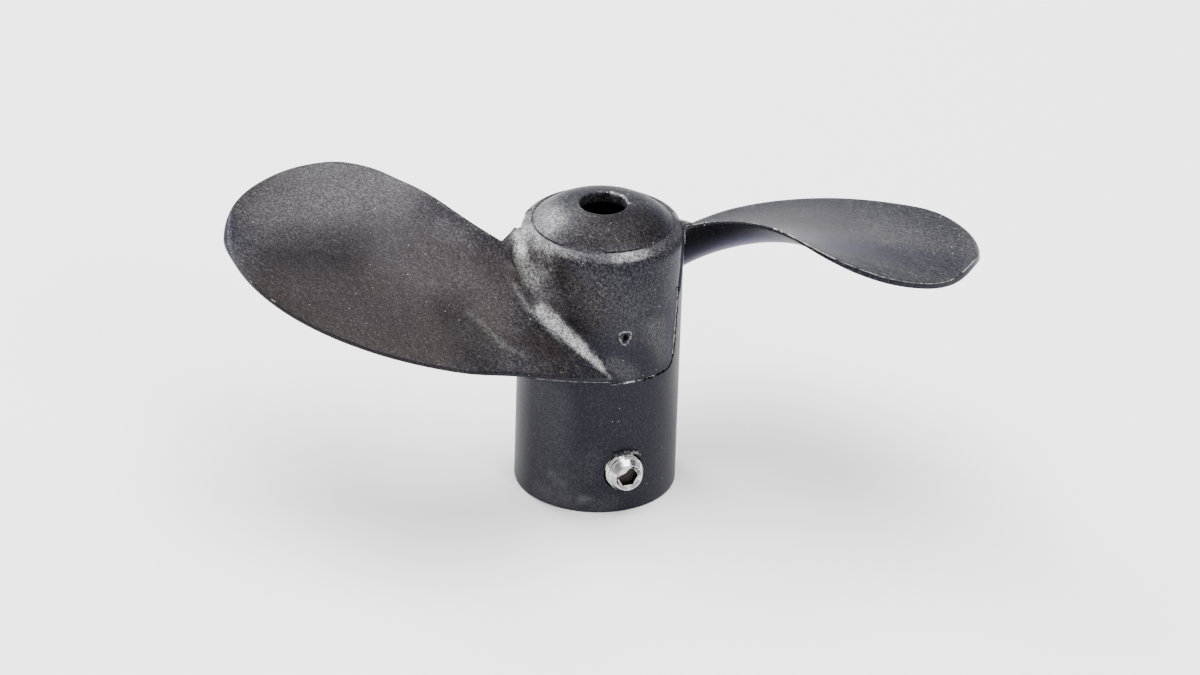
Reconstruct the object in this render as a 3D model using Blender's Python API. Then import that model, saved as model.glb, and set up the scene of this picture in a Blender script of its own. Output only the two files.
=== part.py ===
"""Two-bladed propeller of a pond aerator: one plastic moulding, a steel bushing and a set screw.

It stands on the open end of its hub. The origin is the middle of that end, +Z runs up the
shaft's axis, and the blades reach out along X. Seen from above, a blade's high edge lies
clockwise of its low edge.
"""

import bpy
import bmesh
from math import acos, atan2, ceil, cos, degrees, floor, pi, radians, sin, sqrt
from mathutils import Matrix, Vector

MM = 0.001
FIT = 0.3 * MM
CUT_PAST = 1.0 * MM
WELD = 0.02 * MM

# Hub: a round barrel with a rounded shoulder and a shallow dome that has a hole in it. The
# upper mould's half of the barrel stands proud, at the upper radius.
HUB_RADIUS = 17.1 * MM
UPPER_RADIUS = 17.5 * MM
HUB_FOOT_CHAMFER = 0.4 * MM
SHOULDER_RADIUS = 3.6 * MM
SHOULDER_TOP = 60.75 * MM
DOME_TOP = 64.66 * MM
DOME_DROP = 3.98 * MM
DOME_POWER = 3.2
DOME_EDGE_RADIUS = 14.4 * MM
DOME_WALL = 2.3 * MM
TOP_HOLE_RADIUS = 4.95 * MM
GROOVE_INNER_RADIUS = 14.5 * MM
GROOVE_OUTER_RADIUS = 14.9 * MM
GROOVE_FLOOR = 59.7 * MM
CAVITY_RADIUS = 11.6 * MM
ROUND_STEPS = 72
HOLE_STEPS = 48
CORNER_STEPS = 5
DOME_STEPS = 6
BARREL_ROWS = 8
ROOF_STEPS = 4

# Upper mould's half of the barrel, which ends in a step
PROUD_FLOOR = 31.2 * MM
PROUD_INNER_RADIUS = 15.0 * MM
STEP_ANGLE = -25.0

# Blade edge: its angle and height at fifteen places, from the low end of the root round the
# tip to the high end. Places run from -1 to 1, and the radius falls with their square.
# Angles are measured from the blade's own axis, positive towards the far side.
TIP_RADIUS = 78.7 * MM
ROOT_RADIUS = 17.0 * MM
EDGE_ANGLES = (-104.5, -69.5, -53.5, -39.5, -27.5, -17.5, -8, -1.5, 5.5, 14, 19, 21, 17.5, 4.5, -23.5)
EDGE_HEIGHTS = (32.2, 40.4, 44.8, 48.2, 51, 53.6, 55, 55.4, 57.7, 58.3, 59.8, 61.4, 62.2, 61.9, 55.4)
SPINE_RADIUS = 70.0 * MM
BLADE_INNER_RADIUS = 14.5 * MM
LAST_OUTER_RADIUS = 23.2 * MM

# Blade section: how far it is hollowed between its edges, and how thick it is
HOLLOW_DEPTH = 2.5 * MM
HOLLOW_END_RADIUS = 58.0 * MM
HOLLOW_FADE = 1.2
HOLLOW_SCALE = 27 / 4
TIP_EDGE_THICKNESS = 1.3 * MM
ROOT_EDGE_THICKNESS = 0.6 * MM
LOW_EDGE_THICKNESS = 1.0 * MM
EDGE_THIN_RADIUS = 42.0 * MM
EDGE_THICK_RADIUS = 56.0 * MM
BODY_THICKNESS = 1.4 * MM
ROOT_THICKNESS = 5.0 * MM
BODY_THIN_RADIUS = 50.0 * MM
BODY_FADE = 1.2

# Root fillet on the blade's upper face. It turns upright just inside the barrel's upper radius,
# tapers off towards the low edge, and stays under a rounded cap at the shoulder.
FILLET_RADIUS = 4.4 * MM
FILLET_BASE = 17.4 * MM
FILLET_TAPER = 0.14
CAP_INNER_RADIUS = 14.5 * MM
CAP_REACH = 5.4 * MM
CAP_FLOOR = 56.2 * MM
CAP_RISE = 4.0 * MM
CAP_TURN = -6.0
CAP_FALL = 0.13 * MM

# Web beyond the high edge at its root, which climbs to the shoulder
WEB_RADIUS = 21.5 * MM
WEB_TURN = 20.0
WEB_RISE = 3.8 * MM

# Steps used to measure the blade's slope, and rows of faces along it and across half of it
PROBE_ANGLE = 1.5
PROBE_STEP = 0.2 * MM
PROBE_TIP_GAP = 2.0 * MM
NARROWEST = 0.01
OUTER_ROWS = 26
FILLET_ROWS = 6
CROSS_ROWS = 7

# Steel bushing: a hexagonal bar pressed into the open end, bored for the motor's shaft
SHAFT_RADIUS = 6.35 * MM
BUSHING_FLATS = 22.2 * MM
BUSHING_BASE = 0.4 * MM
BUSHING_TOP = 25.4 * MM
BORE_CHAMFER = 0.5 * MM

# Set screw: its axis, its ends measured from the shaft's axis, and its hexagonal socket
SCREW_ANGLE = 291.2
SCREW_HEIGHT = 9.6 * MM
SCREW_RADIUS = 3.97 * MM
SCREW_INNER_END = 7.3 * MM
SCREW_OUTER_END = 20.0 * MM
SCREW_CHAMFER = 1.2 * MM
SOCKET_FLATS = 3.97 * MM
SOCKET_DEPTH = 4.0 * MM
SCREW_HOLE_RADIUS = 4.35 * MM
SCREW_STEPS = 32
HEX_CORNER_RATIO = 1 / cos(pi / 6)

SMOOTH_ANGLE = 35


def clear_scene():
    for thing in list(bpy.data.objects):
        bpy.data.objects.remove(thing, do_unlink=True)


def make_material(name, colour, roughness, metallic):
    material = bpy.data.materials.new(name)
    material.use_nodes = True
    shader = material.node_tree.nodes["Principled BSDF"]
    shader.inputs["Base Color"].default_value = (*colour, 1)
    shader.inputs["Roughness"].default_value = roughness
    shader.inputs["Metallic"].default_value = metallic
    return material


def make_object(name, bm, material=None):
    """A closed mesh becomes an object, shaded smooth up to SMOOTH_ANGLE."""
    bmesh.ops.recalc_face_normals(bm, faces=bm.faces)
    mesh = bpy.data.meshes.new(name)
    bm.to_mesh(mesh)
    bm.free()
    mesh.shade_smooth()
    mesh.set_sharp_from_angle(angle=radians(SMOOTH_ANGLE))
    thing = bpy.data.objects.new(name, mesh)
    bpy.context.collection.objects.link(thing)
    if material:
        mesh.materials.append(material)
    return thing


def combine(target, tool, operation):
    """Joins the tool to the target or cuts it out, and leaves the tool as a guide."""
    step = target.modifiers.new(tool.name, "BOOLEAN")
    step.operation = operation
    step.solver = "EXACT"
    step.object = tool
    tool.hide_render = True
    tool.display_type = "WIRE"


def turned(points, steps):
    """A closed shape turned from (radius, height) points that start and end on the axis."""
    bm = bmesh.new()
    corners = [bm.verts.new((radius, 0, height)) for radius, height in points]
    edges = [bm.edges.new(pair) for pair in zip(corners, corners[1:])]
    bmesh.ops.spin(bm, geom=corners + edges, cent=(0, 0, 0), axis=(0, 0, 1),
                   angle=2 * pi, steps=steps, use_merge=True)
    bmesh.ops.remove_doubles(bm, verts=bm.verts, dist=WELD)
    return bm


def side(radius, bottom, top):
    """Points up a straight side, without its two ends."""
    return [(radius, bottom + (top - bottom) * row / BARREL_ROWS) for row in range(1, BARREL_ROWS)]


def shoulder(outer, inner):
    """Points of the rounded shoulder, from the side of the barrel in to a smaller radius."""
    end = acos(1 - (outer - inner) / SHOULDER_RADIUS)
    turns = [end * step / CORNER_STEPS for step in range(CORNER_STEPS + 1)]
    return [(outer - SHOULDER_RADIUS * (1 - cos(turn)), SHOULDER_TOP - SHOULDER_RADIUS * (1 - sin(turn)))
            for turn in turns]


def dome_points(edge_radius, top, steps):
    """Points of a shallow dome from its edge to its top, which lies on the axis."""
    dome_radii = [edge_radius * (1 - step / steps) for step in range(steps + 1)]
    return [(radius, top - DOME_DROP * (radius / DOME_EDGE_RADIUS) ** DOME_POWER) for radius in dome_radii]


def hub_barrel(material):
    points = [(0, 0), (HUB_RADIUS - HUB_FOOT_CHAMFER, 0), (HUB_RADIUS, HUB_FOOT_CHAMFER)]
    points += side(HUB_RADIUS, HUB_FOOT_CHAMFER, SHOULDER_TOP - SHOULDER_RADIUS)
    points += shoulder(HUB_RADIUS, GROOVE_OUTER_RADIUS)
    points += [(GROOVE_OUTER_RADIUS, GROOVE_FLOOR), (GROOVE_INNER_RADIUS, GROOVE_FLOOR)]
    points += dome_points(DOME_EDGE_RADIUS, DOME_TOP, DOME_STEPS)
    return make_object("propeller_moulding", turned(points, ROUND_STEPS), material)


def hub_cavity():
    """The open inside of the hub above the bushing, under the dome."""
    points = [(0, BUSHING_TOP), (CAVITY_RADIUS, BUSHING_TOP)]
    points += dome_points(CAVITY_RADIUS, DOME_TOP - DOME_WALL, ROOF_STEPS)
    return make_object("cavity_cutter", turned(points, ROUND_STEPS))


def bar(name, sides, radius, bottom, top, material=None):
    """A straight bar along Z with its corners at one radius, and one corner towards +Y."""
    bm = bmesh.new()
    place = Matrix.Translation((0, 0, (bottom + top) / 2))
    bmesh.ops.create_cone(bm, cap_ends=True, segments=sides, radius1=radius, radius2=radius,
                          depth=top - bottom, matrix=place)
    return make_object(name, bm, material)


def hexagon(name, flats, bottom, top, material=None):
    return bar(name, 6, flats / 2 * HEX_CORNER_RATIO, bottom, top, material)


def curve_value(values, place):
    """A smooth curve through equally spaced values, read at a place from -1 to 1."""
    before = 3 * values[0] - 3 * values[1] + values[2]
    after = 3 * values[-1] - 3 * values[-2] + values[-3]
    knots = [before, *values, after]
    along = (place + 1) / 2 * (len(values) - 1)
    first = min(floor(along), len(values) - 2)
    a, b, c, d = knots[first:first + 4]
    t = along - first
    return b + t / 2 * (c - a + t * (2 * a - 5 * b + 4 * c - d + t * (3 * b - a - 3 * c + d)))


def edge_radius(place):
    return TIP_RADIUS - (TIP_RADIUS - ROOT_RADIUS) * place ** 2


def share_between(start, end, value):
    """How far a value has gone from the start to the end, held between 0 and 1."""
    return min(1, max(0, (value - start) / (end - start)))


def edges_at(radius):
    """Angle and height of the blade's high edge and of its low edge at one radius."""
    place = sqrt(share_between(TIP_RADIUS, ROOT_RADIUS, radius))
    high = (curve_value(EDGE_ANGLES, place), curve_value(EDGE_HEIGHTS, place) * MM)
    low = (curve_value(EDGE_ANGLES, -place), curve_value(EDGE_HEIGHTS, -place) * MM)
    return high, low


def web_turn(radius):
    """Angle that the web adds beyond the high edge at one radius."""
    return WEB_TURN * share_between(WEB_RADIUS, ROOT_RADIUS, radius)


def share_at(radius, angle):
    """How far across the blade an angle lies: 0 on the high edge and 1 on the low one."""
    (high_angle, _), (low_angle, _) = edges_at(radius)
    if high_angle - low_angle < NARROWEST:
        return 0.5
    return share_between(high_angle, low_angle, angle)


def plain_height(radius, angle):
    """The upper face without its root fillet: a sloping face hollowed near the high edge."""
    (high_angle, high), (_, low) = edges_at(radius)
    share = share_at(radius, angle)
    web = WEB_RISE * max(0, angle - high_angle) / WEB_TURN
    depth = HOLLOW_DEPTH * share_between(HOLLOW_END_RADIUS, ROOT_RADIUS, radius) ** HOLLOW_FADE
    return high + (low - high) * share - depth * HOLLOW_SCALE * share * (1 - share) ** 2 + web


def angle_inside(radius, angle):
    """The nearest angle that keeps a small distance from both edges of the blade."""
    (high_angle, _), (low_angle, _) = edges_at(radius)
    return min(max(angle, low_angle + PROBE_ANGLE), high_angle - PROBE_ANGLE)


def slope_at(radius, angle):
    """Rise of the upper face for each metre along the arc at one radius."""
    inside = angle_inside(radius, angle)
    rise = plain_height(radius, inside + PROBE_ANGLE) - plain_height(radius, inside - PROBE_ANGLE)
    return rise / (radius * radians(2 * PROBE_ANGLE))


def cap_height(radius, angle):
    """Height of the rounded cap that the fillet stays under, which falls towards the low edge."""
    reach = share_between(CAP_INNER_RADIUS, CAP_INNER_RADIUS + CAP_REACH, radius)
    fall = CAP_FALL * max(0, CAP_TURN - angle)
    return CAP_FLOOR - fall + CAP_RISE * (1 - reach ** 3) ** (1 / 3)


def upper_height(radius, angle):
    """The upper face with its fillet up the hub, which ends under the shoulder and tapers off
    towards the low edge."""
    plain = plain_height(radius, angle)
    gap = FILLET_RADIUS - max(0, radius - FILLET_BASE)
    if gap <= 0:
        return plain
    rise = FILLET_RADIUS - sqrt(FILLET_RADIUS ** 2 - gap ** 2)
    rise *= share_between(1, 1 - FILLET_TAPER, share_at(radius, angle))
    filleted = plain + rise * sqrt(1 + slope_at(max(radius, FILLET_BASE), angle) ** 2)
    return max(plain, min(filleted, cap_height(radius, angle)))


def thickness_at(radius, angle):
    share = share_at(radius, angle)
    outward = share_between(EDGE_THIN_RADIUS, EDGE_THICK_RADIUS, radius)
    high_edge = ROOT_EDGE_THICKNESS + (TIP_EDGE_THICKNESS - ROOT_EDGE_THICKNESS) * outward
    edge = high_edge + (LOW_EDGE_THICKNESS - high_edge) * share
    inward = share_between(BODY_THIN_RADIUS, ROOT_RADIUS, radius) ** BODY_FADE
    body = BODY_THICKNESS + (ROOT_THICKNESS - BODY_THICKNESS) * inward
    return edge + (body - edge) * (1 - (2 * share - 1) ** 4)


def on_blade(radius, angle, height):
    """A point of the blade on the -X side, from its radius, angle and height."""
    return Vector((-radius * cos(radians(angle)), radius * sin(radians(angle)), height))


def face_point(radius, angle):
    return on_blade(radius, angle, plain_height(radius, angle))


def face_normal(radius, angle):
    """Upward normal of the plain upper face, taken a little inside its edges."""
    radius = min(radius, TIP_RADIUS - PROBE_TIP_GAP)
    angle = angle_inside(radius, angle)
    outward = face_point(radius + PROBE_STEP, angle) - face_point(radius - PROBE_STEP, angle)
    across = face_point(radius, angle + PROBE_ANGLE) - face_point(radius, angle - PROBE_ANGLE)
    normal = outward.cross(across).normalized()
    return normal if normal.z > 0 else -normal


def row_places():
    """Place and radius of each row of faces, from the tip to inside the hub's wall."""
    fillet_turns = [pi / 2 * row / FILLET_ROWS for row in range(FILLET_ROWS, -1, -1)]
    fillet_radii = [FILLET_BASE + FILLET_RADIUS * (1 - cos(turn)) for turn in fillet_turns]
    span = TIP_RADIUS - ROOT_RADIUS
    last = sqrt((TIP_RADIUS - LAST_OUTER_RADIUS) / span)
    rows = [(last * row / OUTER_ROWS, None) for row in range(OUTER_ROWS + 1)]
    rows += [(sqrt((TIP_RADIUS - radius) / span), radius) for radius in fillet_radii]
    rows += [(1, BLADE_INNER_RADIUS)]
    return rows


def blade_point(row, hand, share_out):
    """Radius and angle of a point in one row, from the spine (0) out to the edge (1)."""
    place, radius = row
    edge_at = radius if radius else edge_radius(place)
    spine_at = radius if radius else SPINE_RADIUS - (SPINE_RADIUS - ROOT_RADIUS) * place ** 2
    (high_angle, _), (low_angle, _) = edges_at(edge_at)
    edge_angle = high_angle + web_turn(edge_at) if hand > 0 else low_angle
    spine_angle = (high_angle + low_angle) / 2
    out = spine_at + (edge_at - spine_at) * share_out
    return out, spine_angle + (edge_angle - spine_angle) * share_out


def blade(name):
    """One blade: a grid laid from the spine to the edge, then given its thickness."""
    rows = row_places()
    last = len(rows) - 1
    bm = bmesh.new()
    bmesh.ops.create_grid(bm, x_segments=2 * last, y_segments=CROSS_ROWS, size=1)
    places = {}
    for vert in bm.verts:
        column = round(vert.co.x * last)
        hand = -1 if column < 0 else 1
        radius, angle = blade_point(rows[abs(column)], hand, (vert.co.y + 1) / 2)
        places[vert] = (radius, max(radius, ROOT_RADIUS), angle)
        vert.co = on_blade(radius, angle, upper_height(max(radius, ROOT_RADIUS), angle))
    lower = bmesh.ops.duplicate(bm, geom=bm.verts[:] + bm.edges[:] + bm.faces[:])["vert_map"]
    for vert, (radius, face_radius, angle) in places.items():
        depth = thickness_at(face_radius, angle)
        upper = on_blade(radius, angle, plain_height(face_radius, angle))
        lower[vert].co = upper - face_normal(face_radius, angle) * depth
    bmesh.ops.remove_doubles(bm, verts=bm.verts, dist=WELD)
    rim = [edge for edge in bm.edges if edge.is_boundary]
    bmesh.ops.bridge_loops(bm, edges=rim)
    return make_object(name, bm)


def proud_floor(angle):
    """Lower limit of the proud half at an angle counted like the blade's edges."""
    if angle <= EDGE_ANGLES[0]:
        return PROUD_FLOOR
    inside_blade = plain_height(ROOT_RADIUS, angle) - thickness_at(ROOT_RADIUS, angle) / 2
    return max(PROUD_FLOOR, inside_blade)


def proud_half(name):
    """The barrel's surface as the upper mould leaves it, from one blade round to the step."""
    profile = [(PROUD_INNER_RADIUS, PROUD_FLOOR), (UPPER_RADIUS, PROUD_FLOOR)]
    side_top = SHOULDER_TOP - SHOULDER_RADIUS
    profile += side(UPPER_RADIUS, PROUD_FLOOR, side_top)
    profile += shoulder(UPPER_RADIUS, PROUD_INNER_RADIUS)
    start = 180 - EDGE_ANGLES[-1]
    span = 360 + STEP_ANGLE - start
    bm = bmesh.new()
    corners = [bm.verts.new((radius, 0, height)) for radius, height in profile]
    face = bm.faces.new(corners)
    bmesh.ops.rotate(bm, verts=corners, cent=(0, 0, 0), matrix=Matrix.Rotation(radians(start), 3, "Z"))
    bmesh.ops.spin(bm, geom=[face], cent=(0, 0, 0), axis=(0, 0, 1), angle=radians(span),
                   steps=ceil(span * ROUND_STEPS / 360))
    bmesh.ops.holes_fill(bm, edges=[edge for edge in bm.edges if edge.is_boundary], sides=0)
    for vert in bm.verts:
        lowest = proud_floor(-180 - degrees(atan2(vert.co.y, vert.co.x)))
        if vert.co.z < side_top:
            vert.co.z = side_top - (side_top - lowest) * share_between(side_top, PROUD_FLOOR, vert.co.z)
    return make_object(name, bm)


def lay_on_screw_axis(thing):
    """Turns a shape built up Z so that it lies along the set screw's axis, pointing outwards."""
    outwards = Matrix.Rotation(radians(SCREW_ANGLE), 4, "Z") @ Matrix.Rotation(pi / 2, 4, "Y")
    thing.data.transform(Matrix.Translation((0, 0, SCREW_HEIGHT)) @ outwards)
    return thing


def bushing_bar(name, flats, bottom, top, material=None):
    """A hexagonal bar up the shaft's axis, with one flat towards the set screw."""
    thing = hexagon(name, flats, bottom, top, material)
    thing.data.transform(Matrix.Rotation(radians(SCREW_ANGLE), 4, "Z"))
    return thing


def propeller_moulding(plastic):
    moulding = hub_barrel(plastic)
    for number in (1, 2):
        for piece in (proud_half(f"proud_half_{number}"), blade(f"blade_{number}")):
            if number == 2:
                piece.data.transform(Matrix.Rotation(pi, 4, "Z"))
            combine(moulding, piece, "UNION")
    combine(moulding, hub_cavity(), "DIFFERENCE")
    pocket = bushing_bar("pocket_cutter", BUSHING_FLATS + 2 * FIT, -CUT_PAST, BUSHING_TOP + FIT)
    combine(moulding, pocket, "DIFFERENCE")
    top_hole = bar("top_hole_cutter", HOLE_STEPS, TOP_HOLE_RADIUS, GROOVE_FLOOR, DOME_TOP + CUT_PAST)
    combine(moulding, top_hole, "DIFFERENCE")
    screw_hole = bar("screw_hole_cutter", SCREW_STEPS, SCREW_HOLE_RADIUS,
                     SCREW_INNER_END, SCREW_OUTER_END)
    combine(moulding, lay_on_screw_axis(screw_hole), "DIFFERENCE")


def bore_cutter():
    """The shaft's bore through the bushing, chamfered at both mouths."""
    mouth = SHAFT_RADIUS + BORE_CHAMFER
    points = [(0, -CUT_PAST), (mouth, -CUT_PAST), (mouth, BUSHING_BASE)]
    points += [(SHAFT_RADIUS, BUSHING_BASE + BORE_CHAMFER), (SHAFT_RADIUS, BUSHING_TOP - BORE_CHAMFER)]
    points += [(mouth, BUSHING_TOP), (mouth, BUSHING_TOP + CUT_PAST), (0, BUSHING_TOP + CUT_PAST)]
    return make_object("bore_cutter", turned(points, HOLE_STEPS))


def shaft_bushing(steel):
    bushing = bushing_bar("shaft_bushing", BUSHING_FLATS, BUSHING_BASE, BUSHING_TOP, steel)
    combine(bushing, bore_cutter(), "DIFFERENCE")
    thread_hole = bar("thread_cutter", SCREW_STEPS, SCREW_RADIUS + FIT, 0, HUB_RADIUS)
    combine(bushing, lay_on_screw_axis(thread_hole), "DIFFERENCE")


def set_screw(steel):
    end_radius = SCREW_RADIUS - SCREW_CHAMFER
    points = [(0, SCREW_INNER_END), (end_radius, SCREW_INNER_END)]
    points += [(SCREW_RADIUS, SCREW_INNER_END + SCREW_CHAMFER)]
    points += [(SCREW_RADIUS, SCREW_OUTER_END - SCREW_CHAMFER)]
    points += [(end_radius, SCREW_OUTER_END), (0, SCREW_OUTER_END)]
    screw = make_object("set_screw", turned(points, SCREW_STEPS), steel)
    socket_floor = SCREW_OUTER_END - SOCKET_DEPTH
    socket = hexagon("socket_cutter", SOCKET_FLATS, socket_floor, SCREW_OUTER_END + CUT_PAST)
    combine(lay_on_screw_axis(screw), lay_on_screw_axis(socket), "DIFFERENCE")


clear_scene()
propeller_moulding(make_material("black_plastic", (0.045, 0.043, 0.048), 0.45, 0.0))
shaft_bushing(make_material("bushing_steel", (0.52, 0.51, 0.49), 0.35, 1.0))
set_screw(make_material("screw_steel", (0.72, 0.71, 0.69), 0.22, 1.0))
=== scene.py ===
from math import acos, atan2, ceil, cos, degrees, floor, pi, radians, sin, sqrt

import bpy
import bmesh
from mathutils import Matrix, Vector, noise


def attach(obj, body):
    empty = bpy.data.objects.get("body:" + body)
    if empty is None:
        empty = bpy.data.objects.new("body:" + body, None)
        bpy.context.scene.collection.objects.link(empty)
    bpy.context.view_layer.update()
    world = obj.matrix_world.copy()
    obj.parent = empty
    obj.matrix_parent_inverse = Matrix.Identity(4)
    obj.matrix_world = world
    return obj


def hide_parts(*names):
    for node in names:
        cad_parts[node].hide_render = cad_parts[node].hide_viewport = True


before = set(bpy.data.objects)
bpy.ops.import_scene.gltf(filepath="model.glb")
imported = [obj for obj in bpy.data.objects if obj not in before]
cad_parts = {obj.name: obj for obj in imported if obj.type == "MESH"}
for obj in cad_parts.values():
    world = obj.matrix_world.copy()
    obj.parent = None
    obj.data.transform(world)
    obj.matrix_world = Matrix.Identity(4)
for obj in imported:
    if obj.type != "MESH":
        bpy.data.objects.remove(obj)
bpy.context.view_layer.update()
print("frame loaded:", sorted(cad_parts))

mm = 0.001      # pieces are shaped in millimetres and scaled once, when they are finished


def addObject(name, data):
    thing = bpy.data.objects.new(name, data)
    bpy.context.scene.collection.objects.link(thing)
    return thing


def shapeToObject(name, bm):
    mesh = bpy.data.meshes.new(name)
    bm.to_mesh(mesh)
    bm.free()
    return addObject(name, mesh)


# camera, floor and lights

view = {
    "distance": 1.3, "elevation": 28.6, "roll": 1.88, "targetHeight": 0.03,
    "settings": {"sensor_width": 36, "lens": 185.6, "shift_x": 0.00123, "shift_y": 0.00933,
                 "clip_start": 0.05},
}


def addCamera():
    data = bpy.data.cameras.new("photoCamera")
    for name, value in view["settings"].items():
        setattr(data, name, value)
    camera = addObject("photoCamera", data)
    tilt = Matrix.Rotation(pi / 2 - radians(view["elevation"]), 4, "X")
    turn = tilt @ Matrix.Rotation(radians(view["roll"]), 4, "Z")
    target = Matrix.Translation((0, 0, view["targetHeight"]))
    camera.matrix_world = target @ turn @ Matrix.Translation((0, 0, view["distance"]))
    bpy.context.scene.camera = camera


studio = {
    # name, place, aimed at, width, height, watts
    "softboxes": [
        ("overheadBox", (0, 0.1, 1.6), (0, 0, 0), 1.6, 1.6, 80),
        ("backLeftBox", (-0.62, 0.78, 0.8), (0, 0, 0.05), 0.5, 0.5, 14),
        ("frontRightBox", (0.5, -0.75, 0.8), (0, 0, 0.05), 0.35, 0.35, 7),
    ],
    "ambient": 1.05,
    "floorSize": 4, "paper": (0.86, 0.86, 0.865, 1), "palePaper": (0.89, 0.89, 0.89, 1),
    "paperNoise": (3.0, 2.0), "paperRoughness": 0.9,
}


def addLights():
    for name, place, aim, width, height, watts in studio["softboxes"]:
        data = bpy.data.lights.new(name, "AREA")
        data.shape = "RECTANGLE"
        data.size = width
        data.size_y = height
        data.energy = watts
        lamp = addObject(name, data)
        lamp.location = place
        lamp.rotation_euler = (Vector(place) - Vector(aim)).to_track_quat("Z", "Y").to_euler()
    world = bpy.data.worlds.new("studioWorld")
    world.use_nodes = True
    world.node_tree.nodes["Background"].inputs["Color"].default_value = (1, 1, 1, 1)
    world.node_tree.nodes["Background"].inputs["Strength"].default_value = studio["ambient"]
    bpy.context.scene.world = world


# shader maths: one wrapped socket, so that a sum or product of masks adds its Math nodes

class Shade:
    def __init__(self, tree, socket=None):
        self.tree = tree
        self.socket = socket

    def node(self, kind, settings=None, inputs=None, output=0):
        made = self.tree.nodes.new("ShaderNode" + kind)
        for name, value in (settings or {}).items():
            setattr(made, name, value)
        for name, value in (inputs or {}).items():
            if isinstance(value, Shade):
                self.tree.links.new(value.socket, made.inputs[name])
            else:
                made.inputs[name].default_value = value
        return Shade(self.tree, made.outputs[output])

    def maths(self, operation, first, second=0.0):
        return self.node("Math", {"operation": operation}, {0: first, 1: second})

    def __add__(self, other):
        return self.maths("ADD", self, other)
    __radd__ = __add__

    def __sub__(self, other):
        return self.maths("SUBTRACT", self, other)

    def __rsub__(self, other):
        return self.maths("SUBTRACT", other, self)

    def __mul__(self, other):
        return self.maths("MULTIPLY", self, other)
    __rmul__ = __mul__

    def rise(self, low, high, bottom=0.0, top=1.0):
        # 0 below low, 1 above high, smooth in between
        return self.node("MapRange", {"interpolation_type": "SMOOTHSTEP"},
                         {0: self, 1: low, 2: high, 3: bottom, 4: top})

    def mix(self, first, second):
        # colour between the first (where this mask is 0) and the second (where it is 1)
        return self.node("Mix", {"data_type": "RGBA"}, {0: self, 6: first, 7: second}, 2)


def newMaterial(name, metallic):
    # the material, its object coordinates and its shader
    material = bpy.data.materials.new(name)
    material.use_nodes = True
    shader = material.node_tree.nodes["Principled BSDF"]
    shader.inputs["Metallic"].default_value = metallic
    return material, Shade(material.node_tree).node("TexCoord", output="Object"), shader


def noiseAt(place, scale, detail):
    return place.node("TexNoise", {}, {"Vector": place, "Scale": scale, "Detail": detail})


def paintedOn(shade, name):
    return shade.node("Attribute", {"attribute_name": name}, output="Fac")


def clamped(mask):
    return mask.node("Clamp", {}, {"Value": mask})


def plug(shade, shader, name):
    shade.tree.links.new(shade.socket, shader.inputs[name])


# the moulding's wear and painted light: scuffs with painted highlights, grain, tint, haze with a painted
# sheen, painted shade, and soot with painted shadow
wearAndLightNames = ("scuffAndHighlight", "coarse", "warm", "hazeAndSheen", "paintedShade", "sootAndShade")      # painted on the moulding's points

plasticLook = {
    "dark": (0.0042, 0.0037, 0.0074, 1), "warm": (0.0086, 0.004, 0.0014, 1),
    "hazeAndSheen": (0.16, 0.156, 0.172, 1), "speck": (0.105, 0.102, 0.102, 1),
    "rubbedAndHighlight": (0.385, 0.38, 0.38, 1), "dust": (0.62, 0.61, 0.59, 1), "sootAndShade": (0.0012, 0.0012, 0.0013, 1),
    "roughness": 0.43, "specular": 0.16, "specularTint": (0.8, 0.793, 1, 1),
    # noises: scale, detail
    "cloud": (60, 5), "grain": (4200, 2), "grit": (1900, 3), "patch": (420, 4),
    "streaks": (1, 3), "streakTurn": (0, 0, -0.75), "streakSize": (0.0024, 0.00026, 0.0007),
    "dustScale": 560, "bumpDistance": 0.00006, "bumpStrength": 0.6,
}


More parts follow.
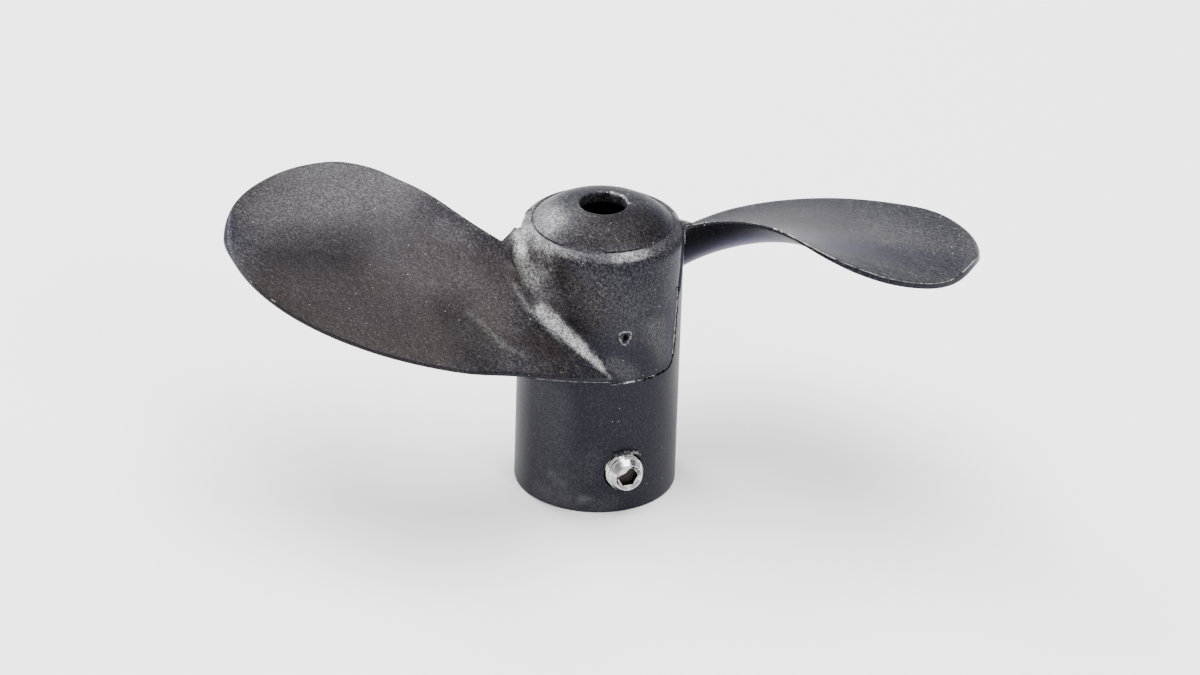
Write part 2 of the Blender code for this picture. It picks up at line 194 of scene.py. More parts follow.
def mouldedPlastic():
    look = plasticLook
    material, place, shader = newMaterial("mouldedPlastic", 0.0)
    scuffAndHighlight, coarse, warm, hazeAndSheen, paintedShade, sootAndShade = [paintedOn(place, name) for name in wearAndLightNames]
    cloud, grain, grit, patch = [noiseAt(place, *look[name]) for name in ("cloud", "grain", "grit", "patch")]
    along = place.node("Mapping", {"vector_type": "TEXTURE"},
                       {"Vector": place, "Rotation": look["streakTurn"], "Scale": look["streakSize"]})
    streaks = noiseAt(along, *look["streaks"])

    # worn places and painted highlights: speckled and ragged, never an even film
    ragged = scuffAndHighlight + (patch - 0.5) * 0.8 * scuffAndHighlight.rise(0.02, 0.35)
    speckled = 0.22 + grain.rise(0.36, 0.62) * 0.60 + grit.rise(0.40, 0.60) * 0.50
    rubbedAndHighlight = clamped(ragged) * speckled * cloud.rise(0.25, 0.6, 0.6, 1.0)
    brushed = streaks.rise(0.50, 0.74) * coarse * cloud.rise(0.30, 0.66, 0.25, 1.0)
    specks = (grain.rise(0.52, 0.70) + grit.rise(0.55, 0.75) * 0.7) * (0.15 + coarse * 0.85)

    tone = warm.mix(look["dark"], look["warm"])
    # mottled grey haze, which is also a painted sheen: the highlight band down the barrel's front, lighter
    # patches along the foot and on the fillet
    tone = (hazeAndSheen * (0.2 + patch * 0.8 + grain.rise(0.35, 0.65) * 0.7)).mix(tone, look["hazeAndSheen"])
    tone = (specks * 0.42 + brushed * 0.5).mix(tone, look["speck"])
    # whitish rubbed places: wear, and painted highlights on the fillet, the shoulder's ring, the bump and the
    # hole's rim
    tone = rubbedAndHighlight.mix(tone, look["rubbedAndHighlight"])

    # specks of white dust: a few of the noise's small cells hold one each
    cells = place.node("TexVoronoi", {}, {"Vector": place, "Scale": look["dustScale"]})
    chance = place.node("TexVoronoi", {}, {"Vector": place, "Scale": look["dustScale"]}, "Color")
    dots = (1 - cells.rise(0.036, 0.066)) * chance.rise(0.58, 0.60) * (0.3 + coarse * 0.7)
    tone = dots.mix(tone, look["dust"])

    # painted shadow, painted shade and the grain's pits: a black base that counts as metal has no shine left
    pits = ((1 - grain.rise(0.33, 0.52)) * 0.30 + (1 - grit.rise(0.36, 0.54)) * 0.34) * coarse
    shadeAndPits = clamped(sootAndShade.rise(0.25, 0.75) + paintedShade + pits)
    plug(shadeAndPits.mix(tone, look["sootAndShade"]), shader, "Base Color")
    plug(shadeAndPits, shader, "Metallic")
    plug(look["roughness"] + (cloud - 0.5) * 0.16 + rubbedAndHighlight * 0.12 + sootAndShade * 0.4, shader, "Roughness")
    height = grain * 0.6 + grit * 0.6 + streaks * coarse * 0.4
    plug(place.node("Bump", {}, {"Height": height, "Distance": look["bumpDistance"],
                                 "Strength": look["bumpStrength"]}), shader, "Normal")
    shader.inputs["Specular IOR Level"].default_value = look["specular"]
    shader.inputs["Specular Tint"].default_value = look["specularTint"]
    return material


steelLook = {
    # the noise's scale and detail, darker and brighter tone
    "screwSteel": (900, 3, (0.42, 0.41, 0.42, 1), (0.58, 0.57, 0.58, 1)),
    "bushingSteel": (300, 4, (0.44, 0.43, 0.41, 1), (0.58, 0.57, 0.55, 1)),
    "dirtAndShade": (0.035, 0.029, 0.027, 1),
}


def steelMaterial(name):
    scale, detail, dark, bright = steelLook[name]
    material, place, shader = newMaterial(name, 1.0)
    cloud = noiseAt(place, scale, detail)
    return material, shader, cloud, cloud.rise(0.3, 0.7).mix(dark, bright)


def screwSteel():
    material, shader, cloud, steel = steelMaterial("screwSteel")
    # dirt in the threads and socket, and painted shade in the socket and on the sunk cone and end
    dirtAndShade = (paintedOn(cloud, "sootAndShade") + (cloud - 0.5) * 0.7).rise(0.35, 0.75)
    plug(dirtAndShade.mix(steel, steelLook["dirtAndShade"]), shader, "Base Color")
    plug(0.09 + cloud * 0.10 + dirtAndShade * 0.35, shader, "Roughness")
    return material


def bushingSteel():
    material, shader, cloud, steel = steelMaterial("bushingSteel")
    plug(steel, shader, "Base Color")
    plug(0.25 + cloud * 0.25, shader, "Roughness")
    return material


def floorPaper():
    material, place, shader = newMaterial("floorPaper", 0.0)
    cloud = noiseAt(place, *studio["paperNoise"])
    plug(cloud.mix(studio["paper"], studio["palePaper"]), shader, "Base Color")
    shader.inputs["Roughness"].default_value = studio["paperRoughness"]
    return material


def addFloor():
    bm = bmesh.new()
    bmesh.ops.create_grid(bm, x_segments=1, y_segments=1, size=studio["floorSize"])
    sheet = shapeToObject("paleFloor", bm)
    sheet.data.materials.append(floorPaper())


addCamera()
addLights()
addFloor()
print("camera, lights and floor placed")


# tools shared by the pieces

mergeGap = 0.004        # points of a turned shape nearer than this become one


def evenly(start, end, steps):
    # values from start to end in equal steps
    return [start + (end - start) * step / steps for step in range(steps + 1)]


def openEdges(bm):
    return [edge for edge in bm.edges if edge.is_boundary]


def closeEnds(bm):
    bmesh.ops.holes_fill(bm, edges=openEdges(bm), sides=0)
    bmesh.ops.recalc_face_normals(bm, faces=bm.faces)


def soften(bm, verts, rounds):
    for _ in range(rounds):
        bmesh.ops.smooth_vert(bm, verts=verts, factor=0.5, use_axis_x=True, use_axis_y=True, use_axis_z=True)


def turnedShape(points, steps, closed=False, turns=1, pitch=0):
    # a shape turned about Z from (radius, height) points, or wound up Z where there is a pitch
    bm = bmesh.new()
    corners = [bm.verts.new((radius, 0, height)) for radius, height in points]
    joined = corners + corners[:1] if closed else corners
    edges = [bm.edges.new(pair) for pair in zip(joined, joined[1:])]
    bmesh.ops.spin(bm, geom=corners + edges, cent=(0, 0, 0), axis=(0, 0, 1), angle=2 * pi * turns,
                   dvec=(0, 0, pitch / steps), steps=turns * steps, use_merge=not pitch)
    bmesh.ops.remove_doubles(bm, verts=bm.verts, dist=mergeGap)
    bmesh.ops.recalc_face_normals(bm, faces=bm.faces)
    return bm


def turnedBy(bm, angle):
    bmesh.ops.rotate(bm, verts=bm.verts, cent=(0, 0, 0), matrix=Matrix.Rotation(radians(angle), 3, "Z"))
    return bm


def barShape(sides, radius, bottom, top):
    bm = bmesh.new()
    bmesh.ops.create_cone(bm, cap_ends=True, segments=sides, radius1=radius, radius2=radius,
                          depth=top - bottom, matrix=Matrix.Translation((0, 0, (bottom + top) / 2)))
    return bm


def carve(name, base, steps):
    # base and tools are bmeshes; each step is (operation, tool)
    target = shapeToObject(name, base)
    tools = [shapeToObject(f"{name}Tool{number}", shape) for number, (_, shape) in enumerate(steps)]
    for (operation, _), tool in zip(steps, tools):
        step = target.modifiers.new(tool.name, "BOOLEAN")
        step.operation = operation
        step.solver = "EXACT"
        step.object = tool
    bm = bmesh.new()
    bm.from_object(target, bpy.context.evaluated_depsgraph_get())
    for thing in [target] + tools:
        mesh = thing.data
        bpy.data.objects.remove(thing)
        bpy.data.meshes.remove(mesh)
    return bm


def finishPiece(name, bm, material, sharpAngle=35):
    bmesh.ops.scale(bm, vec=(mm, mm, mm), verts=bm.verts)
    piece = shapeToObject(name, bm)
    piece.data.shade_smooth()
    piece.data.set_sharp_from_angle(angle=radians(sharpAngle))
    piece.data.materials.append(material)
    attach(piece, "root")
    return piece


def shareBetween(start, end, value):
    return min(1, max(0, (value - start) / (end - start)))


# hub: a turned barrel, open below, with a shallow dome that has a hole in it

hub = {
    "radius": 17.1, "upperRadius": 17.5, "footRound": 0.4,
    "shoulderTop": 60.75, "shoulderRound": 3.6,
    "grooveInner": 14.55, "grooveOuter": 14.83, "grooveFloor": 59.7, "edgeRound": 0.12,
    "domeTop": 64.66, "domeDrop": 3.98, "domePower": 3.2, "domeEdge": 14.4, "domeWall": 2.3,
    "holeRadius": 4.95, "holeRound": 0.45,
    "cavityRadius": 11.6, "ledge": 25.7, "ledgeOverlap": 0.7, "innerRadius": 10.5, "pocketFlats": 22.8,
    "proudFloor": 31.2, "proudInner": 15, "stepAngle": -25,
    "turnSteps": 240, "sideRows": 40, "proudRows": 28, "domeRows": 16, "ceilingRows": 8, "footSteps": 4,
    "shoulderSteps": 14, "edgeSteps": 4, "rimSteps": 3, "rimTurn": 75, "holeSteps": 5, "mergeGap": 0.01,
    # how open the groove round the dome still is: angle, share of its depth
    "groovePaths": [(-180, 0.4), (-128, 0.4), (-114, 0.05), (-92, 0.05), (-86, 0.31), (-56, 0.31),
                    (-48, 0.05), (100, 0.05), (140, 0.5), (180, 0.5)],
    # a worn stretch of the groove is filled to a little below the dome's edge, and softened
    "wornDrop": 0.15, "wornShare": 0.3, "wornInner": 13.2, "wornOuter": 16, "wornFloor": 59.4,
    "wornRounds": 24,
    # crease below the worn ring with its painted highlight on the shoulder: angle, depth
    "creasePaths": [(-180, 0), (-166, 0.2), (-128, 0.2), (-112, 0), (180, 0)],
    "creaseRadius": 16.75, "creaseWidth": 0.45,
    # where the proud half ends on the right: height, angle
    "stepPaths": [(31, -28.5), (37, -26.6), (46.6, -23.6), (50, -25), (57, -22.5), (61, -15)],
    "leanSpan": 35, "cornerRise": 1.2, "cornerAngle": 9, "cornerHeight": 6,
}


def alongPath(path, value):
    # value read off a line through (place, value) pairs
    for (start, first), (end, second) in zip(path, path[1:]):
        if value <= end:
            return first + (second - first) * shareBetween(start, end, value)
    return path[-1][1]


def angleOf(point):
    return degrees(atan2(point.y, point.x))


def arcPoints(centreRadius, centreHeight, radius, start, end, steps):
    turns = [radians(turn) for turn in evenly(start, end, steps)]
    return [(centreRadius + radius * cos(turn), centreHeight + radius * sin(turn)) for turn in turns]


def sidePoints(radius, bottom, top, rows):
    return [(radius, height) for height in evenly(bottom, top, rows)[1:-1]]


def shoulderPoints(outer, inner):
    # the rounded shoulder, from the side of the barrel in to a smaller radius
    reach = hub["shoulderRound"]
    end = degrees(acos(1 - (outer - inner) / reach))
    return arcPoints(outer - reach, hub["shoulderTop"] - reach, reach, 0, end, hub["shoulderSteps"])


def domeHeight(radius):
    return hub["domeTop"] - hub["domeDrop"] * (radius / hub["domeEdge"]) ** hub["domePower"]


def hubProfile():
    h = hub
    foot, shoulder, edge, hole = h["footRound"], h["shoulderRound"], h["edgeRound"], h["holeRound"]
    points = [(h["innerRadius"], 0)]
    points += arcPoints(h["radius"] - foot, foot, foot, -90, 0, h["footSteps"])
    points += sidePoints(h["radius"], foot, h["shoulderTop"] - shoulder, h["sideRows"])
    points += shoulderPoints(h["radius"], h["grooveOuter"] + edge)
    points += arcPoints(h["grooveOuter"] + edge, points[-1][1] - edge, edge, 90, 180, h["edgeSteps"])[1:]
    points += [(h["grooveOuter"], h["grooveFloor"]), (h["grooveInner"], h["grooveFloor"])]
    rim = domeHeight(h["domeEdge"])
    points += arcPoints(h["grooveInner"] - edge, rim - edge, edge, 0, h["rimTurn"], h["rimSteps"])
    ring = h["holeRadius"] + hole
    points += [(radius, domeHeight(radius)) for radius in evenly(h["domeEdge"], ring, h["domeRows"])[1:]]
    points += arcPoints(ring, domeHeight(ring) - hole, hole, 90, 180, h["holeSteps"])[1:]
    points += [(radius, domeHeight(radius) - h["domeWall"])
               for radius in evenly(h["holeRadius"], h["cavityRadius"], h["ceilingRows"])]
    floor = h["ledge"] - h["ledgeOverlap"]
    return points + [(h["cavityRadius"], floor), (h["innerRadius"], floor)]


# blade: the same edge and section as the frame's, from the edge's angle and height at fifteen
# places, counted from the low end of the root (-1) round the tip (0) to the high end (1)

blade = {
    "edgeAngles": (-104.5, -69.5, -53.5, -39.5, -27.5, -17.5, -8, -1.5, 5.5, 14, 19, 21, 17.5, 4.5, -23.5),
    "edgeHeights": (32.2, 40.4, 44.8, 48.2, 51, 53.6, 55, 55.4, 57.7, 58.3, 59.8, 61.4, 62.2, 61.9, 55.4),
    "tipRadius": 78.7, "rootRadius": 17, "spineRadius": 70, "innerRadius": 14.5,
    "lastOuterRadius": 23.2,
    "hollowDepth": 2.5, "hollowEndRadius": 58, "hollowFade": 1.2,
    "tipEdgeThickness": 1.3, "rootEdgeThickness": 0.6, "lowEdgeThickness": 1,
    "edgeThinRadius": 42, "edgeThickRadius": 56,
    "bodyThickness": 1.4, "rootThickness": 5, "bodyThinRadius": 50, "bodyFade": 1.2,
    "filletRadius": 4.4, "filletBase": 17.4, "filletTaper": 0.14,
    "capInner": 14.5, "capReach": 5.4, "capFloor": 56.2, "capRise": 4,
    "capTurn": -6, "capFall": 0.13, "bulgeStart": 0.26, "bulgeFull": 0.06,
    "webRadius": 21.5, "webTurn": 20, "webRise": 3.8,
    "probeAngle": 1.5, "probeStep": 0.2, "probeTipGap": 2,
    "outerRows": 84, "filletRows": 16, "crossRows": 18, "mergeGap": 0.02,
    "edgeRound": 0.18, "edgeSegments": 3, "edgeClear": 1,
    # where the root is softened: between two radii, up to an angle, within reach of the fillet's top
    "softInner": 15.6, "softOuter": 18.4, "softEnd": 12, "softReach": 1.6, "softProbe": 0.45,
    "softStart": -60, "softFull": -20, "softTopGap": 0.6, "softRounds": 10,
}


def curveValue(values, place):
    before = 3 * values[0] - 3 * values[1] + values[2]
    after = 3 * values[-1] - 3 * values[-2] + values[-3]
    knots = [before, *values, after]
    along = (place + 1) / 2 * (len(values) - 1)
    first = min(floor(along), len(values) - 2)
    a, b, c, d = knots[first:first + 4]
    t = along - first
    return b + t / 2 * (c - a + t * (2 * a - 5 * b + 4 * c - d + t * (3 * b - a - 3 * c + d)))


def edgeAt(place):
    return curveValue(blade["edgeAngles"], place), curveValue(blade["edgeHeights"], place)


def edgeRadius(place):
    return blade["tipRadius"] - (blade["tipRadius"] - blade["rootRadius"]) * place ** 2


def edgesAt(radius):
    # angle and height of the high edge, then of the low one
    place = sqrt(shareBetween(blade["tipRadius"], blade["rootRadius"], radius))
    return edgeAt(place), edgeAt(-place)


def webTurn(radius):
    # how far the web carries the edge on, near the root
    return blade["webTurn"] * shareBetween(blade["webRadius"], blade["rootRadius"], radius)


def shareAt(radius, angle):
    # how far across the blade, from its high edge (0) to its low one (1)
    (highAngle, _), (lowAngle, _) = edgesAt(radius)
    if highAngle - lowAngle < 0.01:
        return 0.5
    return shareBetween(highAngle, lowAngle, angle)


def plainHeight(radius, angle):
    # a sloping face, hollowed near the high edge, with the web that climbs to the shoulder
    b = blade
    (highAngle, high), (_, low) = edgesAt(radius)
    share = shareAt(radius, angle)
    web = b["webRise"] * max(0, angle - highAngle) / b["webTurn"]
    fade = shareBetween(b["hollowEndRadius"], b["rootRadius"], radius) ** b["hollowFade"]
    hollow = b["hollowDepth"] * fade * 27 / 4 * share * (1 - share) ** 2      # 27 / 4 makes its peak 1
    return high + (low - high) * share - hollow + web


def angleInside(radius, angle):
    (highAngle, _), (lowAngle, _) = edgesAt(radius)
    return min(max(angle, lowAngle + blade["probeAngle"]), highAngle - blade["probeAngle"])


def slopeAt(radius, angle):
    inside, probe = angleInside(radius, angle), blade["probeAngle"]
    rise = plainHeight(radius, inside + probe) - plainHeight(radius, inside - probe)
    return rise / (radius * radians(2 * probe))


def capHeight(radius, angle):
    b = blade
    reach = shareBetween(b["capInner"], b["capInner"] + b["capReach"], radius)
    fall = b["capFall"] * max(0, b["capTurn"] - angle)
    return b["capFloor"] - fall + b["capRise"] * (1 - reach ** 3) ** (1 / 3)


def upperHeight(radius, angle):
    b = blade
    plain = plainHeight(radius, angle)
    fillet = b["filletRadius"]
    gap = fillet - max(0, radius - b["filletBase"])
    if gap <= 0:
        return plain
    rise = fillet - sqrt(fillet ** 2 - gap ** 2)
    rise *= shareBetween(1, 1 - b["filletTaper"], shareAt(radius, angle))
    filleted = plain + rise * sqrt(1 + slopeAt(max(radius, b["filletBase"]), angle) ** 2)
    cap = capHeight(radius, angle)
    bulge = shareBetween(b["bulgeStart"], b["bulgeFull"], shareAt(radius, angle))
    return max(plain, min(filleted, cap) + max(0, cap - filleted) * bulge)


def thicknessAt(radius, angle):
    b = blade
    share = shareAt(radius, angle)
    outward = shareBetween(b["edgeThinRadius"], b["edgeThickRadius"], radius)
    highEdge = b["rootEdgeThickness"]
    highEdge += (b["tipEdgeThickness"] - highEdge) * outward
    edge = highEdge + (b["lowEdgeThickness"] - highEdge) * share
    inward = shareBetween(b["bodyThinRadius"], b["rootRadius"], radius) ** b["bodyFade"]
    body = b["bodyThickness"] + (b["rootThickness"] - b["bodyThickness"]) * inward
    return edge + (body - edge) * (1 - (2 * share - 1) ** 4)


def onBlade(radius, angle, height):
    return Vector((-radius * cos(radians(angle)), radius * sin(radians(angle)), height))


def facePoint(radius, angle):
    return onBlade(radius, angle, plainHeight(radius, angle))


def faceNormal(radius, angle):
    b = blade
    radius = min(radius, b["tipRadius"] - b["probeTipGap"])
    angle = angleInside(radius, angle)
    step, probe = b["probeStep"], b["probeAngle"]
    outward = facePoint(radius + step, angle) - facePoint(radius - step, angle)
    across = facePoint(radius, angle + probe) - facePoint(radius, angle - probe)
    normal = outward.cross(across).normalized()
    return normal if normal.z > 0 else -normal


def rowPlaces():
    # place and radius of each row of faces, from the tip to inside the hub's wall
    b = blade
    turns = [pi / 2 * row / b["filletRows"] for row in range(b["filletRows"], -1, -1)]
    span = b["tipRadius"] - b["rootRadius"]
    last = sqrt((b["tipRadius"] - b["lastOuterRadius"]) / span)
    rows = [(place, None) for place in evenly(0, last, b["outerRows"])]
    for turn in turns:
        radius = b["filletBase"] + b["filletRadius"] * (1 - cos(turn))
        rows.append((sqrt((b["tipRadius"] - radius) / span), radius))
    rows.append((1, (b["filletBase"] + b["innerRadius"]) / 2))
    rows.append((1, b["innerRadius"]))
    return rows


def bladePoint(row, hand, shareOut):
    # radius and angle of a point on a row, from the blade's middle line (0) out to its edge (1)
    place, radius = row
    edge = radius if radius else edgeRadius(place)
    spineSpan = blade["spineRadius"] - blade["rootRadius"]
    spine = radius if radius else blade["spineRadius"] - spineSpan * place ** 2
    (highAngle, _), (lowAngle, _) = edgesAt(edge)
    edgeAngle = highAngle + webTurn(edge) if hand > 0 else lowAngle
    spineAngle = (highAngle + lowAngle) / 2
    out = spine + (edge - spine) * shareOut
    return out, spineAngle + (edgeAngle - spineAngle) * shareOut


def bladeShape():
    b = blade
    rows = rowPlaces()
    last = len(rows) - 1
    bm = bmesh.new()
    bmesh.ops.create_grid(bm, x_segments=2 * last, y_segments=b["crossRows"], size=1)
    places = {}
    for vert in bm.verts:
        column = round(vert.co.x * last)
        hand = -1 if column < 0 else 1
        radius, angle = bladePoint(rows[abs(column)], hand, (vert.co.y + 1) / 2)
        places[vert] = (radius, max(radius, b["rootRadius"]), angle)
        vert.co = onBlade(radius, angle, upperHeight(max(radius, b["rootRadius"]), angle))
    lower = bmesh.ops.duplicate(bm, geom=bm.verts[:] + bm.edges[:] + bm.faces[:])["vert_map"]
    for vert, (radius, faceRadius, angle) in places.items():
        top = onBlade(radius, angle, plainHeight(faceRadius, angle))
        lower[vert].co = top - faceNormal(faceRadius, angle) * thicknessAt(faceRadius, angle)
    bmesh.ops.remove_doubles(bm, verts=bm.verts, dist=b["mergeGap"])
    wall = set(bmesh.ops.bridge_loops(bm, edges=openEdges(bm))["faces"])
    bmesh.ops.recalc_face_normals(bm, faces=bm.faces)
    lips = [edge for edge in bm.edges
            if len(set(edge.link_faces) & wall) == 1
            and all(vert.co.xy.length > b["rootRadius"] + b["edgeClear"] for vert in edge.verts)]
    bmesh.ops.bevel(bm, geom=lips, offset=b["edgeRound"], affect="EDGES",
                    segments=b["edgeSegments"], profile=0.5, material=-1, clamp_overlap=True)
    return bm


def proudFloor(angle):
    # the proud half's foot climbs along the blade's root
    if angle <= blade["edgeAngles"][0]:
        return hub["proudFloor"]
    root = blade["rootRadius"]
    return max(hub["proudFloor"], plainHeight(root, angle) - thicknessAt(root, angle) / 2)


def wearGroove(bm):
    # the groove is clear on one side of the dome and worn away on the other
    for vert in bm.verts:
        if abs(vert.co.z - hub["grooveFloor"]) < 0.001:
            share = alongPath(hub["groovePaths"], angleOf(vert.co))
            vert.co.z += (1 - share) * (domeHeight(hub["domeEdge"]) - hub["wornDrop"] - hub["grooveFloor"])
    return bm


def pressCrease(bm):
    # a fine crease round the shoulder, below its worn ring with its painted highlight
    for vert in bm.verts:
        gap = abs(vert.co.xy.length - hub["creaseRadius"]) / hub["creaseWidth"]
        if gap < 1 and vert.co.z > hub["shoulderTop"] - hub["shoulderRound"]:
            vert.co.z -= alongPath(hub["creasePaths"], angleOf(vert.co)) * (1 - gap)
    return bm


def slantStep(bm):
    # the proud half's right end leans, and its lower corner is rounded off
    h = hub
    for vert in bm.verts:
        angle = angleOf(vert.co)
        near = shareBetween(h["stepAngle"] - h["leanSpan"], h["stepAngle"], angle)
        if near > 0 and angle < 0:
            lean = alongPath(h["stepPaths"], vert.co.z) - h["stepAngle"]
            corner = shareBetween(h["stepAngle"] - h["cornerAngle"], h["stepAngle"], angle)
            foot = shareBetween(h["proudFloor"] + h["cornerHeight"], h["proudFloor"], vert.co.z)
            vert.co.z += h["cornerRise"] * corner ** 3 * foot
            vert.co.xy = Matrix.Rotation(radians(lean * near ** 2), 2) @ vert.co.xy
    return bm


def proudShape():
    # the upper mould's half of the barrel, from one blade round to the step
    h = hub
    sideTop = h["shoulderTop"] - h["shoulderRound"]
    profile = [(h["proudInner"], h["proudFloor"]), (h["upperRadius"], h["proudFloor"])]
    profile += sidePoints(h["upperRadius"], h["proudFloor"], sideTop, h["proudRows"])
    profile += shoulderPoints(h["upperRadius"], h["proudInner"])
    start = 180 - blade["edgeAngles"][-1]
    span = 360 + h["stepAngle"] - start
    bm = bmesh.new()
    corners = [bm.verts.new((radius, 0, height)) for radius, height in profile]
    face = bm.faces.new(corners)
    turnedBy(bm, start)
    bmesh.ops.spin(bm, geom=[face], cent=(0, 0, 0), axis=(0, 0, 1), angle=radians(span),
                   steps=ceil(span * h["turnSteps"] / 360))
    closeEnds(bm)
    for vert in bm.verts:
        if vert.co.z < sideTop:
            share = shareBetween(sideTop, h["proudFloor"], vert.co.z)
            vert.co.z = sideTop - (sideTop - proudFloor(-180 - angleOf(vert.co))) * share
    return slantStep(pressCrease(bm))


# set screw: its sizes come first, as the moulding has its hole

screw = {
    "angle": 291.2, "height": 9.6, "radius": 3.97, "pitch": 1.411, "threadDepth": 0.75,
    "innerEnd": 7.3, "outerEnd": 20, "collarStart": 18.7, "endRadius": 2.95, "chamfer": 1.55,
    "innerEndRadius": 3.1, "rimRadius": 2.78, "sinkRadius": 2.25, "sinkDepth": 0.55,
    "holeRadius": 4.35, "holeSides": 64, "collarSides": 96, "blankSteps": 96, "turnSteps": 48,
    "flats": 3.97, "socketDepth": 1.9, "drillRadius": 1.9, "drillDepth": 0.25,
    # thread: foot and crest as shares of the pitch, and turns that are cut off again at the ends
    "footWidth": 0.16, "crestStart": 0.5, "crestEnd": 0.66, "spareTurns": 3, "turnsBefore": 1.6,
    # how far the thread, the blank and the cutting shapes reach past the screw's own size
    "spareEnd": 0.2, "spareSide": 0.1, "spareCut": 1,
    "roundRadius": 0.5, "roundDrop": 0.3, "roundTurn": 40, "roundSteps": 5, "endRound": 0.05,
    "mergeGap": 0.003,
    # dirt and painted shade on the socket's walls and floor: in the darker part, elsewhere
    "wallDirtAndShade": (0.95, 0.3), "wallSlope": 0.5, "floorDirtAndShade": (0.85, 0.3), "floorSpan": (-165, 50),
    "aboveFloor": 0.1,
    # painted shade on the sunk cone and on the end's chamfer: strength, and where round the axis
    "sinkShade": 0.55, "sinkSpans": ((5, 75), (150, 175)),
    "endShade": 0.55, "endSpans": ((108, 150), (62, 74)), "endFacing": 0.3,
    # dirt in the threads: none above the first depth, thick below the second
    "threadDirt": (0.25, 0.6),
}


def layOnScrewAxis(bm):
    # a shape built up Z is laid along the set screw's axis, pointing outwards
    outwards = Matrix.Rotation(radians(screw["angle"]), 4, "Z") @ Matrix.Rotation(pi / 2, 4, "Y")
    place = Matrix.Translation((0, 0, screw["height"])) @ outwards
    bmesh.ops.transform(bm, matrix=place, verts=bm.verts)
    return bm


def pocketShape():
    bar = barShape(6, hub["pocketFlats"] / 2 / cos(pi / 6), -1, hub["ledge"])
    return turnedBy(bar, screw["angle"])


def halfRound(point):
    # the same place beside the other blade
    return Vector((-point.x, -point.y, point.z))


def besideLeftBlade(point):
    # the point's angle beside the left blade, or beside the right one turned half round
    if point.x > 0:
        point = halfRound(point)
    return degrees(atan2(point.y, -point.x))


def softenRoots(bm):
    # the fillet, the web and the shoulder run into each other without a crease
    b = blade
    soft = []
    for vert in bm.verts:
        angle = besideLeftBlade(vert.co)
        if b["softInner"] < vert.co.xy.length < b["softOuter"] and b["edgeAngles"][0] < angle < b["softEnd"]:
            top = upperHeight(b["rootRadius"] + b["softProbe"], angle)
            reach = b["softReach"] * (1 + shareBetween(b["softStart"], b["softFull"], angle))
            if abs(vert.co.z - top) < reach and vert.co.z < hub["shoulderTop"] - b["softTopGap"]:
                soft.append(vert)
    soften(bm, soft, b["softRounds"])


def softenRing(bm):
    # where the groove is worn away, the dome runs into the ring round it
    h = hub
    soft = [vert for vert in bm.verts
            if h["wornInner"] < vert.co.xy.length < h["wornOuter"] and vert.co.z > h["wornFloor"]
            and alongPath(h["groovePaths"], angleOf(vert.co)) < h["wornShare"]]
    soften(bm, soft, h["wornRounds"])


flashLook = {
    "size": 0.13, "sides": 6, "ringGap": 0.35, "ragged": 0.9, "raggedScale": 1.7,
    # each line's thickness, and how white it is (whitened flash with a painted highlight), or how black below
    # 0 (a painted shadow line)
    "low": (0.6, 0.3), "front": (0.8, 0.4), "frontThick": (1.9, 1), "frontTorn": (1.6, 0.9),
    "side": (1.1, 0.5), "corner": (2.2, -1), "sideGapShadow": (1.6, -1), "web": (0.7, 0.85),
    "seam": (0.9, 0.7), "mark": (1.5, 0.5),
    # under the blade's low edge, and on to the front: angle, height, radius
    "lowRadii": range(36, 18, -2), "lowDepth": 0.9,
    "lowEnd": [(-81, 30.9, 17.3), (-76, 30.7, 17.2), (-72, 31, 17.3)],
    # round the proud half's foot, round its lower corner (angles back from it) and up its right end; the line
    # round the corner and the gap's line up the end are black, a painted shadow
    "frontAngles": range(-76, -38, 4), "frontSink": 0.05, "thickPart": slice(1, 4), "tornPart": slice(6, 8),
    "cornerBack": range(-28, 2, 2), "cornerDrop": 0.16, "cornerOut": 0.28,
    "sideHeights": range(34, 50), "sideTurn": -0.8, "sideOut": 0.02, "gapTurn": 0.9,
    # along the right blade's web, and the short seam below it: angle, height
    "webFrom": 24, "webTo": 17.6, "webSteps": 8,
    "seamPlaces": [(14, 57.6), (13.6, 56.6), (13.2, 55.6), (12.8, 54.6), (12.4, 53.6)], "seamOut": 0.15,
    "markPlace": (-72, 41.9), "markSize": 1.25, "markBend": 0.15, "markTall": 1.18, "markSteps": 36,
    # worn stretches of the lips, white as wear and as a painted highlight: blade (0 left, 1 right), from, to
    # (places on its edge), thickness, how white
    "lips": [(1, 0.13, 0.22, 0.65, 0.9), (1, 0.26, 0.4, 0.5, 0.6), (1, 0.4, 0.52, 0.4, 0.4),
             (1, 0.52, 0.6, 0.55, 0.75), (1, 0.61, 0.66, 0.5, 0.6), (1, 0.67, 0.8, 0.85, 1),
             (1, 0.812, 0.818, 1.2, 1), (1, 0.826, 0.834, 1.2, 1), (1, 0.86, 0.89, 0.45, 0.5),
             (0, -0.345, -0.33, 0.5, 0.6), (0, -0.262, -0.255, 0.5, 0.6)],
    "lipSink": 0.07, "lipSteps": 60,
    # swarf at the top of the screw's hole: sideways, above its axis, out from the shaft, size, how white
    "chips": [(-2, 4.55, 17.6, 0.38, 0.1), (-1.1, 4.7, 17.9, 0.4, 0.1), (-0.2, 4.95, 17.8, 0.4, 0.1),
              (0.6, 4.85, 17.6, 0.36, 0.1), (1.2, 4.7, 18.1, 0.3, 0.45), (1.9, 4.65, 17.8, 0.38, 0.45),
              (2.6, 4.3, 17.7, 0.3, 0.45), (3.4, 3.6, 17.6, 0.2, 0.45)],
    "chipScale": 2.6, "chipRagged": 0.9, "chipSeed": 1,
}


def onBarrel(angle, height, radius):
    return Vector((radius * cos(radians(angle)), radius * sin(radians(angle)), height))


def evenPath(points, step):
    # the same line with points at about even steps
    path = [points[0]]
    for start, end in zip(points, points[1:]):
        count = max(1, round((end - start).length / step))
        path += [start.lerp(end, number / count) for number in range(1, count + 1)]
    return path


